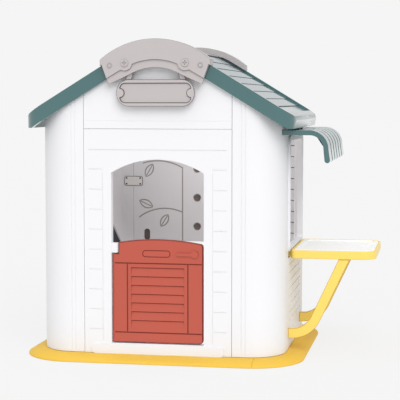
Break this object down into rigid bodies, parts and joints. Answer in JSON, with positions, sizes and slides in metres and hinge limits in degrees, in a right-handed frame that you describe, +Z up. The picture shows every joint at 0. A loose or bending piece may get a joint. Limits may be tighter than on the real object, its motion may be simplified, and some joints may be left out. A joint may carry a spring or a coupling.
{
  "type": "plastic playhouse",
  "caption": "Toddler playhouse with a pitched shingled roof, swinging half door, side window with awning and serving counter, on a low base frame.",
  "frame": {"origin": "on the ground, under the middle of the overall box", "axes": "+Z up, +X to the right as seen from the front with the counter on that side, +Y from the front door to the back wall"},
  "size_m": [1.296, 0.928, 1.1698],
  "materials": {
    "wall": "satin",
    "base": "satin",
    "counter": "satin",
    "counter_top": "satin",
    "roof": "gloss",
    "cap": "satin",
    "sign": "satin",
    "door": "satin",
    "board_frame": "satin",
    "screw": "brushed",
    "board": "matte"
  },
  "bodies": {
    "house": {"base_front": "base", "base_right": "base", "base_back": "base", "base_left": "base", "corner_front_left": "wall", "corner_front_right": "wall", "corner_back_left": "wall", "corner_back_right": "wall", "front_panel": "wall", "front_gable": "wall", "back_panel": "wall", "back_gable": "wall", "right_panel": "wall", "left_panel": "wall", "roof_left": "roof", "roof_right": "roof", "cap_front": "cap", "cap_back": "cap", "cap_screws": "cap", "cap_plugs": "cap", "sign_board": "sign", "hinge_pin_upper": "screw", "hinge_pin_lower": "screw", "awning": "roof", "counter_tray": "counter", "counter_top": "counter_top", "counter_arm_front": "counter", "counter_arm_back": "counter", "joining_plates_front": "wall", "joining_plates_back": "wall", "joining_plates_left": "wall", "joining_plates_right": "wall", "plate_screws_front": "screw", "plate_screws_back": "screw", "plate_screws_left": "screw", "plate_screws_right": "screw", "drawing_board": "board", "board_frame": "board_frame"},
    "door": {"door": "door"}
  },
  "joints": [
    {"name": "door_hinge", "type": "hinge", "parent": "house", "child": "door", "pos_m": [-0.2855, -0.39, 0.25], "axis": [0, 0, 1], "range_deg": [-90, 90]}
  ]
}
